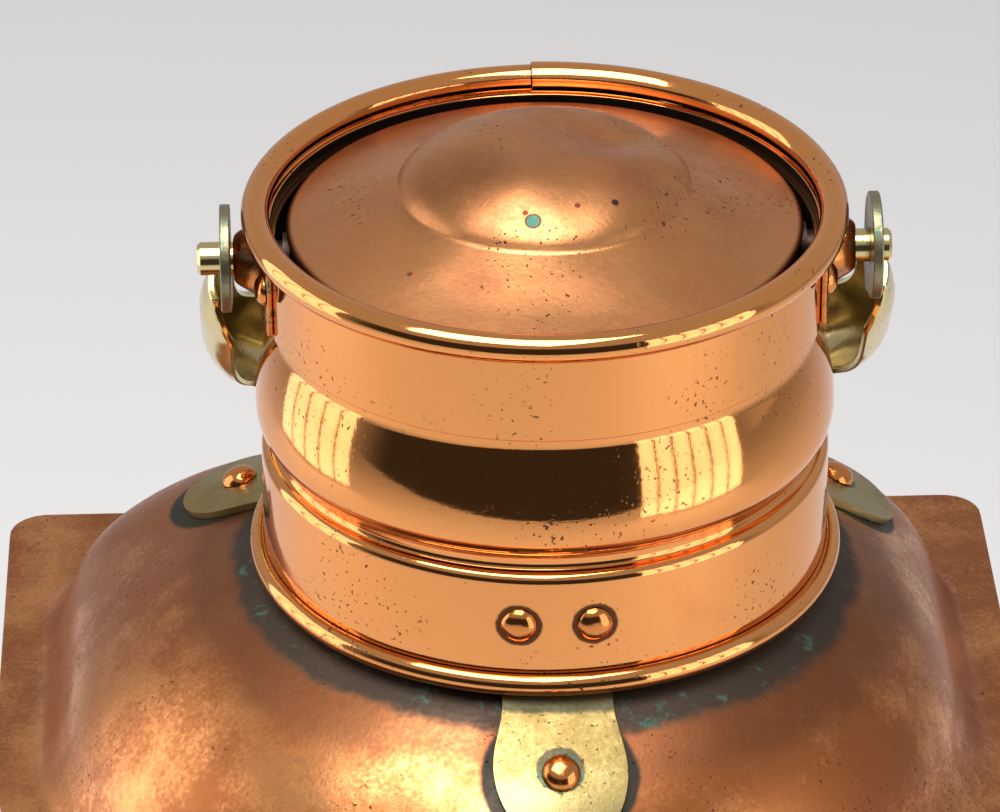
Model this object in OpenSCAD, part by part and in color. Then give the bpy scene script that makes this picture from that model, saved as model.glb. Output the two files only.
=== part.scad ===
// Ship's masthead oil lantern in copper and brass: a D-shaped lamp house with a hinged
// pillow-shaped roof, a round chimney with a smoke cap, a swinging bail and an oil font.
// Millimetres. +Z is up, the lens faces -Y, and the origin is on the floor face under the lens centre.

/* [Lamp house] */
// Height from the standing face to the top of the roof flange
house_h = 230; // [215:1:245]
// Outer half width of the lamp house, which is also the radius of its round front
house_r = 113; // [112:0.5:114]
// Outer face of the flat back, behind the lens centre
house_back = 101; // [100:0.5:102]
// Thickness of the copper sheet
sheet = 1.2; // [1:0.1:1.5]
// Height of the vented base
base_h = 56; // [52:1:60]
// Height of the lens
lens_h = 130; // [120:1:132]
// Angle that the lens shows over
lens_angle = 225; // [200:1:230]

/* [Roof] */
// Outer half width of the roof flange
flange_r = 120; // [119:0.5:122]
// Back edge of the flange, behind the lens centre
flange_back = 108; // [106:0.5:110]
// Corner radius of the flange
flange_corner = 9; // [6:0.5:12]
// Height of the chimney's seat above the flange
dome_rise = 60; // [58:0.5:62]
// Distance of the chimney to the right of the centre line
chimney_shift = 8; // [0:0.5:9]

/* [Chimney] */
// Outer radius of the chimney's plain band
band_r = 64; // [63.5:0.1:64.5]
// Height of the plain band
band_h = 25; // [24:0.5:26]
// Outer radius of the rim band at the top
rim_band_r = 62; // [61.8:0.1:62.2]
// Largest radius of the swaged ring
swell_r = 65.2; // [65:0.1:65.5]
// Radius of the smoke cap
cap_r = 57.3; // [56:0.1:58]

/* [Bail] */
// Height of the pivot pins above the chimney's seat
pivot_h = 69; // [68:0.5:70]
// Length of the straight legs, from the pins to the bow
leg_len = 35; // [34:0.5:38]
// Angle of the resting legs from straight down
bail_rest = 38; // [37.5:0.5:40]
// Angle that the bow is bent back from the legs
bow_bend = 13; // [12.5:0.5:16]
// Radius of a pivot pin
pin_r = 3.7; // [3.5:0.1:3.8]

/* [Oil font] */
// Outer radius of the oil tank
font_r = 48; // [44:0.5:50]
// Height of the oil tank's wall
font_h = 60; // [54:0.5:62]
// Width of the flat wick
wick_w = 22; // [18:0.5:24]

/* [Hidden] */
$fn = 96;
fit = 0.1;          // gap between pieces that lie against each other
copper = "#b5653a";
brass = "#b59a54";
tin = "#8c8c86";
glass = "#cfe4e0";

// Levels and places that several pieces share
house_corner = 10;
lens_z = base_h + 4;
gallery_z = lens_z + lens_h;
flange_z = house_h - sheet;             // underside of the flange
seat_z = house_h + dome_rise;           // where the plain band meets its foot bead
side_front = 48;                        // where the copper side walls start, behind the lens centre
lens_out = house_r - 6;
lens_in = house_r - 14;

// A D: round in front of the X axis, straight at the sides and the back, with round back corners.
module d_shape(r, back, corner) {
    intersection() {
        circle(r);
        translate([-r, -r]) square([2 * r, r]);
    }
    translate([-r, 0]) square([2 * r, back - corner]);
    translate([-(r - corner), 0]) square([2 * (r - corner), back]);
    for (side = [-1, 1]) translate([side * (r - corner), back - corner]) circle(corner);
}

// An upright wall that follows the D, with its outer face at house_r - inset.
module d_wall(inset, wall, h) {
    linear_extrude(h) difference() {
        d_shape(house_r - inset, house_back - inset, house_corner);
        d_shape(house_r - inset - wall, house_back - inset - wall, house_corner - wall);
    }
}

// One plain tube or ring.
module tube(r_out, r_in, h) {
    rotate_extrude() translate([r_in, 0]) square([r_out - r_in, h]);
}

// A drill of radius r for a hole that runs out along +X from a round wall of radius at.
module drill(r, at) {
    translate([at - 5, 0, 0]) rotate([0, 90, 0]) cylinder(r = r, h = 10);
}

// Grooves cut down the rim of a knob or cap, at radius r.
module knurl(count, r, cut_r, h) {
    for (k = [0:count - 1]) rotate([0, 0, 360 / count * k]) translate([r, 0, -1])
        cylinder(r = cut_r, h = h, $fn = 16);
}

// A rivet along +Z: shank down from z = 0 through the joint, with a domed head above it.
module rivet(head_r, head_h, shank_r, grip) {
    ball_r = (head_r * head_r + head_h * head_h) / (2 * head_h);
    rotate_extrude() intersection() {
        translate([0, head_h - ball_r]) circle(ball_r);
        square([head_r, head_h]);
    }
    translate([0, 0, -grip]) cylinder(r = shank_r, h = grip);
}

// ---------- base ----------

vent_r = 3;
vent_z = 20;

module base_floor() {
    color(copper) linear_extrude(sheet)
        d_shape(house_r - sheet - fit, house_back - sheet - fit, house_corner - sheet - fit);
}

module base_pan() {
    color(copper) difference() {
        d_wall(0, sheet, base_h);
        for (a = [-165:15:-15])
            rotate([0, 0, a]) translate([0, 0, vent_z]) drill(vent_r, house_r);
    }
}

// Half-round brass moulding around the foot of the base
module base_bead() {
    color(brass) linear_extrude(6) difference() {
        d_shape(house_r + 3, house_back + 3, house_corner + 3);
        d_shape(house_r + fit, house_back + fit, house_corner + fit);
    }
}

// ---------- lens and its housing ----------

module lens_seat() {
    color(brass) translate([0, 0, base_h]) linear_extrude(4) difference() {
        d_shape(house_r, house_back, house_corner);
        circle(house_r - 20);
    }
}

module upper_gallery() {
    color(brass) translate([0, 0, gallery_z]) linear_extrude(4) difference() {
        d_shape(house_r, house_back, house_corner);
        circle(house_r - 20);
    }
}

// Ribs of the lens: a tall bull's-eye belt with shallower prisms above and below it
belt_h = 34;
prism_h = (lens_h - belt_h) / 8;
lens_core = lens_out - 4;
belt_points = [for (k = [0:8])
    [lens_out - 3.6 * pow(k / 4 - 1, 2), lens_h / 2 - belt_h / 2 + k * belt_h / 8]];
low_prisms = [for (k = [0:3]) each [[lens_out - 0.6, k * prism_h], [lens_core, (k + 1) * prism_h - 0.4]]];
high_prisms = [for (k = [0:3]) each [[lens_core, lens_h - (4 - k) * prism_h + 0.4],
    [lens_out - 0.6, lens_h - (3 - k) * prism_h]]];

module lens() {
    color(glass, 0.5) translate([0, 0, lens_z])
        rotate([0, 0, -90 - lens_angle / 2]) rotate_extrude(angle = lens_angle)
            polygon(concat([[lens_in, 0]], low_prisms, belt_points, high_prisms, [[lens_in, lens_h]]));
}

// Upright brass post that closes the gap from the end of the lens to the side wall
module lens_post(side) {
    end_a = (lens_angle - 180) / 2;
    wall_in = house_r - sheet - fit;
    color(brass) translate([0, 0, lens_z]) mirror([side < 0 ? 1 : 0, 0, 0]) linear_extrude(lens_h) {
        rotate(end_a) translate([lens_in - 3, fit]) square([16.5, 3]);
        translate([lens_in - 2, side_front - 3.5]) square([wall_in - lens_in + 2, 3.5]);
        translate([wall_in - 1.5, side_front - 3.5]) square([1.5, 20]);
    }
}

module upper_band() {
    color(copper) translate([0, 0, gallery_z + 4]) difference() {
        d_wall(0, sheet, flange_z - fit - gallery_z - 4);
        for (a = [-150:30:-30])
            rotate([0, 0, a]) translate([0, 0, 15]) drill(vent_r, house_r);
    }
}

// The copper wall behind the lens: both sides and the flat back in one sheet
module back_shell() {
    color(copper) translate([0, 0, lens_z]) difference() {
        d_wall(0, sheet, lens_h);
        translate([-house_r - 1, -house_r - 1, -1])
            cube([2 * house_r + 2, house_r + 1 + side_front, lens_h + 2]);
        for (x = socket_rivet_x, z = socket_rivet_z)
            translate([x, house_back, z - lens_z]) rotate([0, 0, 90]) drill(socket_rivet_r + fit / 2, 0);
    }
}

// ---------- guard wires in front of the lens ----------

guard_r = 2.5;
guard_path_r = house_r - guard_r - 0.6;

module guard(z) {
    color(brass) translate([0, 0, z]) {
        rotate([0, 0, 180]) rotate_extrude(angle = 180)
            translate([guard_path_r, 0]) circle(guard_r, $fn = 32);
        for (side = [-1, 1]) translate([side * guard_path_r, 0, 0]) rotate([-90, 0, 0])
            cylinder(r = guard_r, h = side_front - 3.6, $fn = 32);
    }
}

// ---------- inside of the lamp house ----------

reflector_r = 66;

// Tinned reflector behind the flame, held off the back wall by two straps
module reflector() {
    strap = house_back - sheet - fit - reflector_r;
    color(tin) translate([0, 0, base_h + 22]) {
        difference() {
            tube(reflector_r + 1, reflector_r, 96);
            translate([-80, -110, -1]) cube([160, 150, 98]);
        }
        for (z = [14, 80]) translate([-6, reflector_r + 0.5, z]) cube([12, strap - 0.5, 1.2]);
    }
}

// Three spring clips on the floor that hold the oil tank
module font_clips() {
    color(brass) for (a = [-90, 30, 150]) rotate([0, 0, a]) translate([font_r + 0.4, -7, sheet]) {
        cube([12, 14, 1.2]);
        cube([1.2, 14, 16]);
    }
}

// ---------- oil font and burner ----------

font_z = sheet;
collar_r = 22;
tank_top = font_z + font_h + 8;

module font_tank() {
    color(tin) difference() {
        translate([0, 0, font_z]) rotate_extrude() polygon([[0, 0], [font_r, 0], [font_r, font_h],
            [collar_r, font_h + 8], [16, font_h + 8], [16, font_h + 7], [collar_r, font_h + 7],
            [font_r - 1, font_h - 0.6], [font_r - 1, 1], [0, 1]]);
        translate([filler_x, 0, font_z + 20]) cylinder(r = filler_r, h = font_h);
    }
}

filler_x = -36;
filler_r = 7;

module filler_neck() {
    color(brass) translate([filler_x, 0, font_z + font_h - 2]) tube(filler_r - 0.05, filler_r - 1.2, 15);
}

module filler_cap() {
    color(brass) translate([filler_x, 0, font_z + font_h + 7]) difference() {
        cylinder(r = filler_r + 2.2, h = 8.5);
        translate([0, 0, -1]) cylinder(r = filler_r + 0.4, h = 8);
        knurl(18, filler_r + 2.5, 0.6, 7);
    }
}

burner_z = tank_top;
shaft_z = burner_z + 14;
shaft_r = 1.5;
tube_wall = 0.6;
wick_t = 3;

module wick_slot(extra) {
    translate([-wick_w / 2 - extra, -wick_t / 2 - extra]) square([wick_w + 2 * extra, wick_t + 2 * extra]);
}

// Threaded brass collar that seats the burner, with the air holes of its gallery
module burner_collar() {
    color(brass) translate([0, 0, burner_z]) difference() {
        rotate_extrude() polygon([[15, -6], [15.9, -6], [15.9, 0], [20, 0], [20, 4], [17, 6], [26, 22],
            [26, 24], [0, 24], [0, 22.8], [24.6, 22.8], [15.6, 6.6], [15, 5]]);
        translate([0, 0, -10]) linear_extrude(60) wick_slot(tube_wall + 0.15);
        for (k = [0:11]) rotate([0, 0, 15 + 30 * k]) translate([20.5, 0, 23])
            cylinder(r = 1.6, h = 8, center = true);
        translate([0, wheel_y, shaft_z - burner_z]) rotate([0, 90, 0]) cylinder(r = shaft_r + 0.06, h = 40);
    }
}

// Domed cap over the wick, with the flame slot
module burner_cone() {
    color(brass) translate([0, 0, burner_z + 24]) difference() {
        rotate_extrude() polygon([[22, 0], [24, 0], [22, 7], [16, 15], [0, 19], [0, 18], [15.4, 14.1],
            [21, 6.6]]);
        translate([-wick_w / 2 - 2, -3.5, -1]) cube([wick_w + 4, 7, 30]);
    }
}

module wick_tube() {
    color(brass) difference() {
        translate([0, 0, burner_z - 8]) linear_extrude(46) difference() {
            wick_slot(tube_wall);
            wick_slot(0.1);
        }
        translate([-4, -4.5, shaft_z - 4]) cube([8, 4, 8]);
    }
}

wick_top = burner_z + 40;

module wick() {
    color("#e8dfc6") translate([0, 0, font_z + 6]) linear_extrude(wick_top - font_z - 6)
        translate([-wick_w / 2 + 0.2, -wick_t / 2 + 0.3]) square([wick_w - 0.4, wick_t - 0.6]);
}

wheel_r = 3.2;
wheel_y = -(wick_t / 2 - 0.3) - wheel_r - 0.35;

// Shaft with the two toothed wheels that lift the wick through the opening in its tube
module winder_shaft() {
    color(brass) translate([0, wheel_y, shaft_z]) rotate([0, 90, 0]) {
        translate([0, 0, -7]) cylinder(r = shaft_r, h = 47);
        for (z = [-3, 1]) translate([0, 0, z]) difference() {
            cylinder(r = wheel_r, h = 1.6);
            knurl(12, wheel_r + 0.2, 0.5, 4);
        }
    }
}

knob_x = 40;

module winder_knob() {
    color(brass) translate([knob_x, wheel_y, shaft_z]) rotate([0, 90, 0]) difference() {
        cylinder(r = 8, h = 4);
        knurl(20, 8.4, 0.8, 6);
    }
}

// ---------- mounting socket on the back ----------

socket_w = 62;
socket_h = 84;
socket_z = lens_z + 22;
tongue_w = 40;
tongue_gap = 8;
socket_plate = 2.5;
socket_rivet_r = 2;
socket_rivet_x = [-26, 26];
socket_rivet_z = [socket_z + 10, socket_z + socket_h - 10];

// Brass channel that slides down over the ship's flat bracket tongue
module mount_socket() {
    color(brass) translate([0, house_back + fit, socket_z]) difference() {
        union() {
            translate([-socket_w / 2, 0, 0]) cube([socket_w, socket_plate, socket_h]);
            translate([-tongue_w / 2 - 3, 0, 0])
                cube([tongue_w + 6, socket_plate + tongue_gap + 3, socket_h]);
        }
        translate([-tongue_w / 2, socket_plate, -1]) cube([tongue_w, tongue_gap, socket_h + 2]);
        for (x = socket_rivet_x, z = socket_rivet_z)
            translate([x, 0, z - socket_z]) rotate([0, 0, 90]) drill(socket_rivet_r + fit / 2, 4);
    }
}

module socket_rivets() {
    color(copper) for (x = socket_rivet_x, z = socket_rivet_z)
        translate([x, house_back + fit + socket_plate, z]) rotate([-90, 0, 0])
            rivet(2.6, 1.6, socket_rivet_r, socket_plate + fit + sheet);
}

// ---------- roof ----------

// Everything here is measured from the chimney's axis, in the direction a.
function front_reach(a, r) = -chimney_shift * cos(a)
    + sqrt(r * r - pow(chimney_shift * sin(a), 2));

function back_reach(a, r, back, corner) =
    let (side = cos(a) >= 0 ? 1 : -1,
        flat = min((r - side * chimney_shift) / max(abs(cos(a)), 0.001), back / max(sin(a), 0.001)),
        cx = side * (r - corner) - chimney_shift,
        cy = back - corner,
        in_corner = side * (flat * cos(a) - cx) > 0 && flat * sin(a) > cy,
        along = cx * cos(a) + cy * sin(a))
    in_corner ? along + sqrt(corner * corner - cx * cx - cy * cy + along * along) : flat;

// Distance from the chimney's axis to a D
function reach(a, r, back, corner) = sin(a) <= 0 ? front_reach(a, r) : back_reach(a, r, back, corner);

dome_foot_r = flange_r - 16.5;
dome_foot_back = flange_back - 22;
dome_foot_corner = 34;
dome_hole = 59;
dome_start = 0.6;       // where on the full arch the chimney cuts it off
dome_power = 2.2;
dome_round = 1.8;
dome_drop = 6.1;        // from the chimney's seat to the metal under the foot bead
valley_lift = 8;        // of the arch's foot above the flange, taken up by the valley

function arch(t) = pow(1 - pow(t, dome_power), 1 / dome_round);

// Height of the dome's top face at share s of the way from the chimney's hole to the foot
function dome_z(s) =
    let (t = dome_start + (1 - dome_start) * s,
        foot = house_h + valley_lift,
        top = seat_z - dome_drop)
    foot + (top - foot) * arch(t) / arch(dome_start);

dome_shares = [0, 0.12, 0.25, 0.38, 0.5, 0.62, 0.73, 0.83, 0.9, 0.95, 0.985];
function foot_reach(a) = reach(a, dome_foot_r, dome_foot_back, dome_foot_corner);
function edge_reach(a) = reach(a, flange_r, flange_back, flange_corner);
function valley_reach(a, s) = foot_reach(a) + s * 5;

// Radius and height of each ring of the roof's top face, from the hole to the flange's edge
function roof_profile(a) = concat(
    [for (s = dome_shares) [dome_hole + (foot_reach(a) - dome_hole) * s, dome_z(s)]],
    [[valley_reach(a, 0.2), house_h + 3], [valley_reach(a, 0.6), house_h + 0.7],
        [valley_reach(a, 1.2), house_h]],
    [[edge_reach(a), house_h]]);

roof_angles = concat([for (a = [0:6:36]) a], [for (a = [38:1.5:50]) a], [for (a = [54:6:132]) a],
    [for (a = [134.5:1.5:145]) a], [for (a = [150:6:354]) a]);

function place(a, p, drop) = [chimney_shift + p[0] * cos(a), p[0] * sin(a), p[1] - drop];

// A sheet of constant upright thickness over the roof's profile
module roof_sheet(angles, thick) {
    outer = [for (a = angles) let (row = roof_profile(a)) [for (p = row) place(a, p, 0)]];
    inner = [for (a = angles) let (row = roof_profile(a)) [for (p = row) place(a, p, thick)]];
    n = len(angles);
    m = len(outer[0]);
    points = concat([for (row = outer) each row], [for (row = inner) each row]);
    under = n * m;
    faces = [for (i = [0:n - 1]) let (a = i * m, b = ((i + 1) % n) * m) each concat(
        [for (j = [0:m - 2]) each [[a + j, b + j, a + j + 1], [b + j, b + j + 1, a + j + 1]]],
        [for (j = [0:m - 2]) each [[under + a + j, under + a + j + 1, under + b + j],
            [under + b + j, under + a + j + 1, under + b + j + 1]]],
        [[a, under + a, b], [b, under + a, under + b]],
        [[a + m - 1, b + m - 1, under + a + m - 1], [b + m - 1, under + b + m - 1, under + a + m - 1]])];
    polyhedron(points, faces);
}

module roof_dome() {
    color(copper) difference() {
        roof_sheet(roof_angles, sheet);
        for (a = bracket_angles) bracket_frame(a)
            translate([0, 0, -8]) cylinder(r = bracket_rivet_shank + fit / 2, h = 12, $fn = 32);
    }
}

// Rim under the roof that drops inside the lamp house
module roof_skirt() {
    color(copper) translate([0, 0, flange_z - 9]) d_wall(sheet + 0.8, 1, 9 - fit);
}

// ---------- roof hinge at the back, and the hook that shuts the roof ----------

hinge_y = flange_back + 3.5;
hinge_z = house_h - 5;
knuckle_r = 3.5;
hinge_pin_r = 1.8;
knuckle = 12;
hinge_span = 5 * knuckle;
leaf_t = 1.6;

module knuckles(indices) {
    for (k = indices) translate([-hinge_span / 2 + k * knuckle + 0.15, hinge_y, hinge_z])
        rotate([0, 90, 0]) cylinder(r = knuckle_r, h = knuckle - 0.3);
}

module hinge_bore() {
    translate([-hinge_span, hinge_y, hinge_z]) rotate([0, 90, 0])
        cylinder(r = hinge_pin_r + 0.05, h = 2 * hinge_span);
}

// Leaf bent under the flange from the back wall to its three knuckles
module hinge_leaf_lower() {
    plate_y = house_back + fit;
    color(brass) difference() {
        union() {
            translate([-hinge_span / 2, plate_y, hinge_z - 24]) cube([hinge_span, leaf_t, 20]);
            for (k = [0, 2, 4]) translate([-hinge_span / 2 + k * knuckle + 0.15, plate_y, hinge_z - 5])
                cube([knuckle - 0.3, hinge_y - plate_y, 3]);
            knuckles([0, 2, 4]);
        }
        hinge_bore();
    }
}

// Leaf on the flange that reaches its two knuckles past the flange's edge
module hinge_leaf_upper() {
    color(brass) difference() {
        union() {
            translate([-hinge_span / 2, flange_back - 11, house_h + fit]) cube([hinge_span, 11.5, leaf_t]);
            for (k = [1, 3]) translate([-hinge_span / 2 + k * knuckle + 0.15, flange_back + 0.3, hinge_z])
                cube([knuckle - 0.3, hinge_y - flange_back - 0.3 + knuckle_r,
                    house_h + fit + leaf_t - hinge_z]);
            knuckles([1, 3]);
        }
        hinge_bore();
    }
}

module hinge_pin() {
    color(brass) translate([-hinge_span / 2 - 1, hinge_y, hinge_z]) rotate([0, 90, 0])
        cylinder(r = hinge_pin_r, h = hinge_span + 2);
}

hook_angle = -120;
stud_z = gallery_z + 12;
hook_pivot_y = 14;       // sideways from the stud, so that the hanging hook is clear of it
hook_pivot_z = house_h - 8;
hook_plane = house_r + 3.2;
hook_t = 1.8;
hook_notch = 2.9;      // half width of the notch for the stud
hook_reach = sqrt(pow(hook_pivot_y, 2) + pow(hook_pivot_z - stud_z, 2));
hook_pin_r = 1.5;

module hook_frame(x, y, z) {
    rotate(hook_angle) translate([x, y, z]) rotate([0, 90, 0]) children();
}

// Stud on the upper band that the hook catches
module staple() {
    color(brass) hook_frame(house_r + fit, 0, stud_z) {
        cylinder(r = 5, h = 1.4);
        cylinder(r = 1.5, h = 7);
        translate([0, 0, 5.6]) cylinder(r = 3.6, h = 1.4);
    }
}

// Lug soldered under the flange, with the hook's pivot pin
module hook_lug() {
    color(brass) {
        rotate(hook_angle) translate([hook_plane - 1.8, hook_pivot_y - 6, hook_pivot_z - 5])
            cube([1.6, 12, flange_z - fit - hook_pivot_z + 5]);
        hook_frame(hook_plane - 0.3, hook_pivot_y, hook_pivot_z) {
            cylinder(r = hook_pin_r, h = hook_t + 1.4);
            translate([0, 0, hook_t + 0.6]) cylinder(r = 2.8, h = 1);
        }
    }
}

// Hook that hangs from the lug, with a notch in its side for the stud
module roof_hook() {
    color(brass) hook_frame(hook_plane, hook_pivot_y, hook_pivot_z) difference() {
        union() {
            cylinder(r = 4, h = hook_t);
            translate([0, -4, 0]) cube([hook_reach + 6, 10, hook_t]);
        }
        translate([0, 0, -1]) cylinder(r = hook_pin_r + 0.06, h = 4);
        translate([hook_reach - hook_notch, -6, -1]) cube([2 * hook_notch, 6 + hook_notch, 4]);
    }
}

// ---------- chimney ----------

foot_bead_r = 2.7;
foot_bead_path = 64.5;
foot_bead_z = -3.6;
wall = 0.8;
groove_r = 61;
upper_groove_r = 60.6;
rim_wire_r = 3.2;
rim_wire_path = 63.4;
rim_wire_z = 80;
rim_band_z = 56;

module on_chimney() {
    translate([chimney_shift, 0, seat_z]) children();
}

module chimney_foot_bead() {
    color(copper) on_chimney() rotate_extrude() difference() {
        translate([foot_bead_path, foot_bead_z]) circle(foot_bead_r, $fn = 48);
        translate([band_r - wall - 8, -1]) square([wall + 8, 8]);
        translate([band_r - wall - 8, -20]) square([8, 30]);
    }
}

// Outline of the chimney's outside from the foot up: plain band, groove, swell, groove, neck
// The swell turns out sharply from the lower groove and tapers back slowly to the upper one.
swell_foot = band_h + 4.3;
swell_top = band_h + 27;
swell_mid = band_h + 10.5;       // level of its largest radius
swell_out = swell_r - groove_r;
swell_line = concat(
    [for (k = [1:5])
        [groove_r + swell_out * sin(18 * k), swell_mid - (swell_mid - swell_foot) * cos(18 * k)]],
    [for (k = [1:5]) let (s = k / 5)
        [groove_r + swell_out * (1 - pow(s, 1.8)), swell_mid + (swell_top - swell_mid) * s]]);
tube_line = concat([[band_r, -1], [band_r, band_h - 2.5], [band_r - 0.7, band_h - 0.6],
    [band_r - 2, band_h + 0.5], [groove_r, band_h + 2], [groove_r - 0.2, band_h + 3.4]],
    swell_line, [[upper_groove_r, 53.5], [upper_groove_r, 74]]);

// Holes for the two pivot pins
module pin_holes() {
    for (side = [-1, 1]) translate([0, 0, pivot_h]) rotate([0, side * 90, 0])
        cylinder(r = pin_r + fit / 2, h = 80);
}

module chimney_tube() {
    inside = [for (k = [len(tube_line) - 1:-1:0]) tube_line[k] - [wall, 0]];
    color(copper) on_chimney() difference() {
        rotate_extrude() polygon(concat(tube_line, inside));
        for (a = band_rivet_angles) rotate([0, 0, a]) translate([50, 0, band_rivet_z])
            rotate([0, 90, 0]) cylinder(r = band_rivet_shank + fit / 2, h = 20, $fn = 32);
        trunnion_rivet_holes();
        pin_holes();
    }
}

module rim_band() {
    color(copper) on_chimney() difference() {
        translate([0, 0, rim_band_z]) tube(rim_band_r, upper_groove_r + 0.1, rim_wire_z - rim_band_z);
        trunnion_rivet_holes();
        pin_holes();
    }
}

module rim_wire() {
    color(copper) on_chimney() rotate_extrude() difference() {
        translate([rim_wire_path, rim_wire_z]) circle(rim_wire_r, $fn = 48);
        translate([upper_groove_r - 6, rim_wire_z - 8]) square([rim_band_r - upper_groove_r + 6 + fit, 8]);
    }
}

// Top face of the smoke cap above the seat: a cone that rises to the foot of a low round bump
cap_edge_z = 77.5;
bump_foot_r = 32;
bump_foot_z = 86.2;
bump_h = 10;
bump_ball_r = (bump_foot_r * bump_foot_r + bump_h * bump_h) / (2 * bump_h);
bump_half = asin(bump_foot_r / bump_ball_r);
bump_line = [for (k = [6:-1:0]) let (a = bump_half * k / 6)
    [bump_ball_r * sin(a), bump_foot_z + bump_h - bump_ball_r * (1 - cos(a))]];
cap_t = 1;

module smoke_cap() {
    under = [for (k = [6:-1:0]) bump_line[k] - [0, cap_t]];
    color(copper) on_chimney() rotate_extrude() polygon(concat(
        [[cap_r - cap_t, cap_edge_z - 2], [cap_r, cap_edge_z - 2], [cap_r, cap_edge_z - 0.5],
            [cap_r - 0.5, cap_edge_z]],
        bump_line, under, [[cap_r - cap_t, cap_edge_z - cap_t]]));
}

cap_strut_angles = [30, 150, 270];

// Straps that carry the smoke cap from the inside of the chimney
module cap_struts() {
    color(brass) on_chimney() for (a = cap_strut_angles)
        rotate([90, 0, a]) linear_extrude(10, center = true)
            polygon([[59.5, 56], [59.5, 71], [54.5, 77.1], [44, 80.7], [44, 79.1], [53.8, 75.5],
                [57.9, 70.4], [57.9, 56]]);
}

flue_r = 36;

// Tin draught tube inside the chimney, flared at the foot to gather the hot air
module inner_flue() {
    color(tin) on_chimney() rotate_extrude() polygon([[52, -34], [flue_r, -8], [flue_r, 66],
        [flue_r - 1, 66], [flue_r - 1, -8.3], [50.8, -34]]);
}

module flue_struts() {
    color(tin) on_chimney() for (a = [90, 210, 330]) rotate([0, 0, a]) translate([flue_r + fit, -4, 6]) {
        cube([1, 8, 10]);
        cube([band_r - wall - flue_r - 2 * fit - 0.4, 8, 1]);
    }
}

// ---------- brackets that hold the chimney to the roof ----------

bracket_angles = [-90, 30, 150];
bracket_t = 1.8;         // upright thickness of the foot and true thickness of the arm
bracket_lift = 0.25;
arm_foot = -6.7;
bracket_reach = 93;
bracket_r = 14.5;
bracket_neck = 12;
bracket_rivet_at = 80;
bracket_rivet_shank = 2.4;
band_rivet_z = 11;
band_rivet_shank = 2;
band_rivet_angles = [for (a = bracket_angles, side = [-1, 1]) a + side * 7.46];

// Height of the roof's top face at radius r from the chimney in the direction a
function roof_z(a, r) = dome_z(min(1, (r - dome_hole) / (foot_reach(a) - dome_hole)));
function roof_tilt(a, r) = atan2(roof_z(a, r - 1) - roof_z(a, r + 1), 2);

// Frame with its origin on the roof under a bracket's rivet and +Z square to the metal
module bracket_frame(a) {
    translate([chimney_shift, 0, 0]) rotate([0, 0, a])
        translate([bracket_rivet_at, 0, roof_z(a, bracket_rivet_at)])
            rotate([0, roof_tilt(a, bracket_rivet_at), 0]) children();
}

// A patch of the roof's top face between two lifts, for the bracket foot in the direction a
module roof_patch(a, lift, thick) {
    rows = [for (r = [60:4:96]) r];
    turns = [for (k = [-7:7]) a + 2 * k];
    m = len(rows);
    n = len(turns);
    function at(i, j, up) = let (t = turns[i], r = rows[j])
        [chimney_shift + r * cos(t), r * sin(t), roof_z(t, r) + up];
    points = concat([for (i = [0:n - 1], j = [0:m - 1]) at(i, j, lift + thick)],
        [for (i = [0:n - 1], j = [0:m - 1]) at(i, j, lift)]);
    u = n * m;
    top = [for (i = [0:n - 2], j = [0:m - 2]) let (p = i * m + j)
        each [[p, p + m, p + 1], [p + m, p + m + 1, p + 1]]];
    low = [for (f = top) [u + f[0], u + f[2], u + f[1]]];
    ends = [for (j = [0:m - 2]) let (p = j, q = (n - 1) * m + j)
        each [[p, p + 1, u + p], [p + 1, u + p + 1, u + p], [q, u + q, q + 1], [q + 1, u + q, u + q + 1]]];
    sides = [for (i = [0:n - 2]) let (p = i * m, q = i * m + m - 1)
        each [[p, u + p, p + m], [p + m, u + p, u + p + m], [q, q + m, u + q], [q + m, u + q + m, u + q]]];
    polyhedron(points, concat(top, low, ends, sides));
}

// Plan of a bracket foot: a neck that widens into a rounded end
module bracket_plan(start) {
    end_x = bracket_reach - bracket_r;
    translate([end_x, 0]) circle(bracket_r);
    polygon([[start, -bracket_neck], [68, -bracket_neck], [end_x, -bracket_r], [end_x, bracket_r],
        [68, bracket_neck], [start, bracket_neck]]);
}

// Foot on the roof, with an arm that turns up inside the chimney behind the foot bead
module bracket(a) {
    arm_r = band_r - wall - fit;
    color(brass) difference() {
        union() {
            intersection() {
                roof_patch(a, bracket_lift, bracket_t);
                translate([chimney_shift, 0, house_h]) rotate(a)
                    linear_extrude(dome_rise) bracket_plan(arm_r - bracket_t);
            }
            on_chimney() intersection() {
                translate([0, 0, arm_foot]) tube(arm_r, arm_r - bracket_t, 21 - arm_foot);
                rotate(a) translate([40, -bracket_neck + 1, -20]) cube([40, 2 * bracket_neck - 2, 60]);
            }
        }
        bracket_frame(a) translate([0, 0, -8])
            cylinder(r = bracket_rivet_shank + fit / 2, h = 20, $fn = 32);
        on_chimney() {
            rotate_extrude() translate([foot_bead_path, foot_bead_z]) circle(foot_bead_r + fit, $fn = 48);
            for (b = band_rivet_angles) rotate(b) translate([50, 0, band_rivet_z])
                rotate([0, 90, 0]) cylinder(r = band_rivet_shank + fit / 2, h = 20, $fn = 32);
        }
    }
}

module bracket_rivets() {
    color(copper) for (a = bracket_angles) bracket_frame(a) translate([0, 0, 2.2])
        rivet(4.25, 2.6, bracket_rivet_shank, 4.4);
}

module band_rivets() {
    color(copper) on_chimney() for (a = band_rivet_angles) rotate([0, 0, a])
        translate([band_r + 0.15, 0, band_rivet_z]) rotate([0, 90, 0]) rivet(4, 2, band_rivet_shank, 3.6);
}

// ---------- trunnions and pivot pins ----------

trunnion_w = 29;
trunnion_top = 76;
trunnion_t = 1.2;
trunnion_rivet_angles = [for (side = [0, 180], turn = [-9.6, 9.6]) side + turn];
trunnion_rivet_z = 66.5;
trunnion_rivet_shank = 1.8;
boss_r = 8;
boss_x = 69;
pin_end = 77;

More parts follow.
